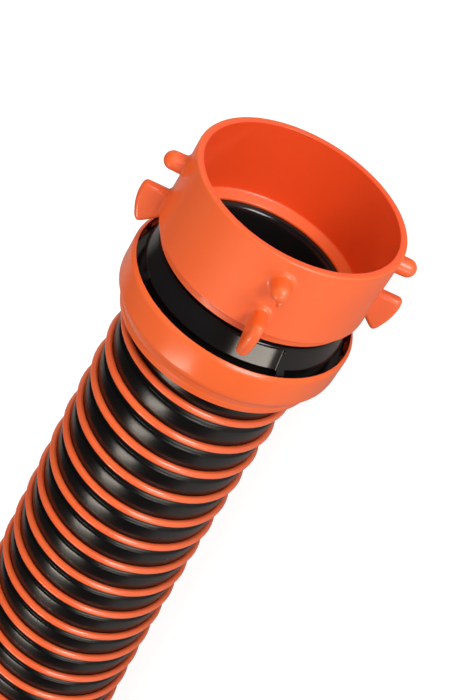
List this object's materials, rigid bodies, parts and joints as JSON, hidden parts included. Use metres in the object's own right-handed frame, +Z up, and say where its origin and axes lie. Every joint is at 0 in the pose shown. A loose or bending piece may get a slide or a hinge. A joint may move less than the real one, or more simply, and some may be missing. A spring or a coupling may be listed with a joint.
{
  "type": "sewer hose kit",
  "caption": "Ribbed three inch waste hose with a swivel lug fitting on one end and a swivel bayonet fitting on the other, each held by a locking ring.",
  "frame": {"origin": "on the floor under the middle of the lug fitting", "axes": "+X out of the lug fitting's mouth along its swivel axis, +Z up from the floor"},
  "size_m": [1.2423, 1.0087, 0.1066],
  "materials": {
    "fitting_orange": "satin injection moulded, slightly translucent",
    "hub_black": "satin injection moulded",
    "hose_black": "glossy extruded wall with an orange helical rib",
    "seal_rubber": "matt"
  },
  "bodies": {
    "hose": {"lug_seal": "seal_rubber", "lug_hub": "hub_black", "lug_lock_ring": "fitting_orange", "hose_run": "hose_black", "hose_coil": "hose_black", "bayonet_lock_ring": "fitting_orange", "bayonet_hub": "hub_black", "bayonet_seal": "seal_rubber"},
    "lug_ring": {"lug_collar": "fitting_orange"},
    "bayonet_ring": {"bayonet_collar": "fitting_orange", "bayonet_gasket": "seal_rubber"}
  },
  "joints": [
    {"name": "lug_swivel", "type": "hinge", "parent": "hose", "child": "lug_ring", "pos_m": [0, 0, 0.0533], "axis": [1, 0, 0], "continuous": true},
    {"name": "bayonet_swivel", "type": "hinge", "parent": "hose", "child": "bayonet_ring", "pos_m": [0.21652, -0.36336, 0.0533], "axis": [0, 1, 0], "continuous": true}
  ]
}
